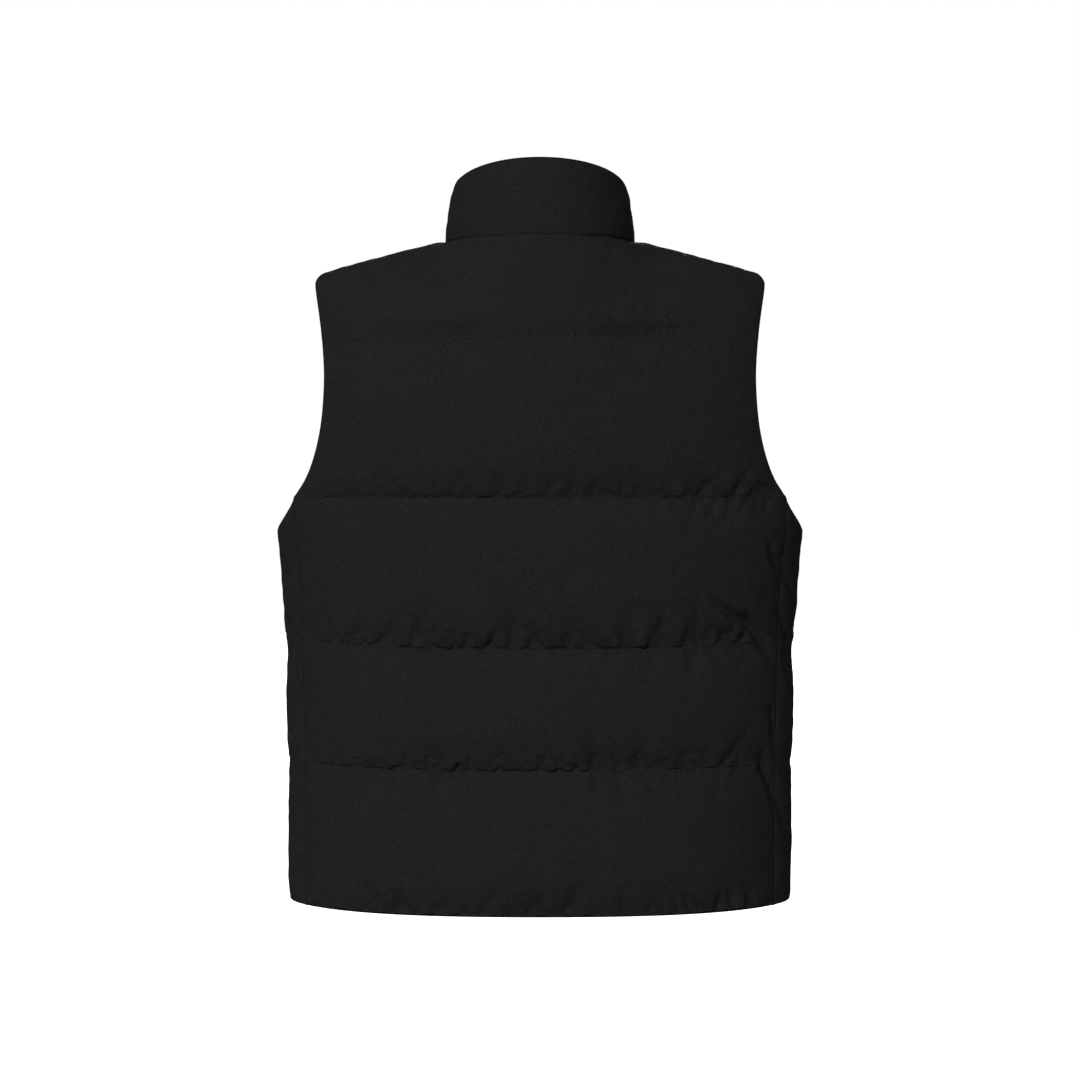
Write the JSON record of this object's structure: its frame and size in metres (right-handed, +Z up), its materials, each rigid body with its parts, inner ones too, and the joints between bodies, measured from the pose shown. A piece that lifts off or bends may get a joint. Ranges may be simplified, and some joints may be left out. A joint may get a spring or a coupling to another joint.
{
  "type": "puffer vest",
  "caption": "Quilted puffer vest with a stand collar, open armholes and a closed front zip, filled out with no wearer and hanging as worn.",
  "frame": {"origin": "on the centre plane, level with the middle of the shoulder seams, where the wearer's shoulders carry the vest", "axes": "+Z up, -Y towards the front of the vest, +X towards the wearer's left"},
  "size_m": [0.5242, 0.2434, 0.7353],
  "materials": {
    "shell_cloth": "matte black plain-weave nylon, quilted over padding",
    "zip_tape": "black woven zip tape",
    "zip_plastic": "black moulded zip teeth",
    "zip_metal": "black enamelled die-cast zip slider"
  },
  "bodies": {
    "vest": {"back": "shell_cloth", "front_left": "shell_cloth", "front_right": "shell_cloth", "collar": "shell_cloth", "zip_tape_left": "zip_tape", "zip_tape_right": "zip_tape", "zip_chain": "zip_plastic", "zip_box": "zip_plastic", "zip_slider": "zip_metal"},
    "pull": {"zip_pull": "zip_metal"}
  },
  "joints": [
    {"name": "pull_swing", "type": "hinge", "parent": "vest", "child": "pull", "pos_m": [0, -0.09617, 0.014], "axis": [-1, 0, 0], "range_deg": [0, 170]}
  ]
}
